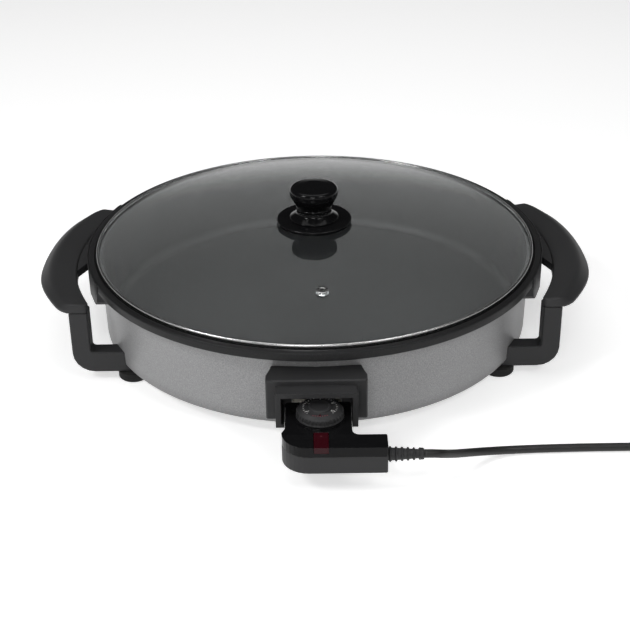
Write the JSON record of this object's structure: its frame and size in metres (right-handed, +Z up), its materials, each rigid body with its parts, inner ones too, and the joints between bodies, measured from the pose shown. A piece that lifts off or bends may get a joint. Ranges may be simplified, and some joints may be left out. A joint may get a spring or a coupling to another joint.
{
  "type": "electric grill pan",
  "caption": "Round electric grill pan with a loose domed glass lid, leg handles at both sides and a plug-in thermostat control with its cord.",
  "frame": {"origin": "middle of the footprint of the pan, handles and control, on the surface that the feet stand on; the pan's own axis is 33 mm behind it", "axes": "+Z up; +X to the user's right, across both handles; +Y to the back, away from the control"},
  "size_m": [0.6311, 0.486, 0.1438],
  "materials": {
    "pan_body": "cast and pressed aluminium: black non-stick coating inside and on the rim, grey speckled lacquer outside",
    "element_steel": "heat-darkened steel",
    "terminal_ceramic": "matt unglazed ceramic",
    "bright_steel": "bright stainless steel",
    "moulded_black": "fine-grained black phenolic and nylon mouldings",
    "polished_black": "polished black moulding",
    "foot_rubber": "matt black rubber",
    "lid_glass": "clear tempered glass",
    "red_lens": "clear red plastic",
    "lamp_glass": "small glow lamp",
    "contact_brass": "plain brass sheet and tube",
    "cord_sheath": "satin black rubber sheath"
  },
  "bodies": {
    "pan": {"pan_shell": "pan_body", "heating_element": "element_steel", "element_clip_1": "element_steel", "element_clip_2": "element_steel", "element_clip_3": "element_steel", "terminal_block": "terminal_ceramic", "terminal_pin_left": "bright_steel", "terminal_pin_right": "bright_steel", "connector_guard": "moulded_black", "guard_screw_left": "bright_steel", "guard_screw_right": "bright_steel", "handle_bracket_left": "moulded_black", "handle_bracket_right": "moulded_black", "grip_left": "moulded_black", "grip_right": "moulded_black", "leg_front_left": "moulded_black", "leg_rear_left": "moulded_black", "leg_front_right": "moulded_black", "leg_rear_right": "moulded_black", "foot_pad_front_left": "foot_rubber", "foot_pad_rear_left": "foot_rubber", "foot_pad_front_right": "foot_rubber", "foot_pad_rear_right": "foot_rubber", "foot_screw_front_left": "bright_steel", "foot_screw_rear_left": "bright_steel", "foot_screw_front_right": "bright_steel", "foot_screw_rear_right": "bright_steel"},
    "lid": {"lid_glass": "lid_glass", "lid_band": "bright_steel", "lid_knob": "polished_black", "knob_guard_disc": "polished_black", "knob_washer": "bright_steel", "knob_screw": "bright_steel", "vent_grommet": "bright_steel"},
    "control": {"control_lower_shell": "moulded_black", "control_upper_shell": "polished_black", "indicator_lens": "red_lens", "indicator_lamp": "lamp_glass", "contact_carrier": "terminal_ceramic", "contact_socket_left": "contact_brass", "contact_socket_right": "contact_brass", "probe_rod": "bright_steel", "thermostat_frame": "element_steel", "bimetal_blade": "contact_brass", "shell_screw_1": "bright_steel", "shell_screw_2": "bright_steel", "strain_relief": "moulded_black", "cord_run": "cord_sheath", "cord_coil": "cord_sheath", "cord_tail": "cord_sheath", "cord_tie": "cord_sheath", "plug_body": "moulded_black", "plug_pin_left": "bright_steel", "plug_pin_right": "bright_steel"},
    "dial": {"dial_knob": "moulded_black", "dial_pointer": "red_lens", "dial_shaft": "bright_steel"}
  },
  "joints": [
    {"name": "lid_lift", "type": "slide", "parent": "pan", "child": "lid", "axis": [0, 0, 1], "range_m": [0, 0.15]},
    {"name": "control_pull", "type": "slide", "parent": "pan", "child": "control", "axis": [0, -1, 0], "range_m": [0, 0.08]},
    {"name": "dial_turn", "type": "hinge", "parent": "control", "child": "dial", "pos_m": [0.0025, -0.199, 0.05], "axis": [0, 0, -1], "range_deg": [0, 270]}
  ]
}
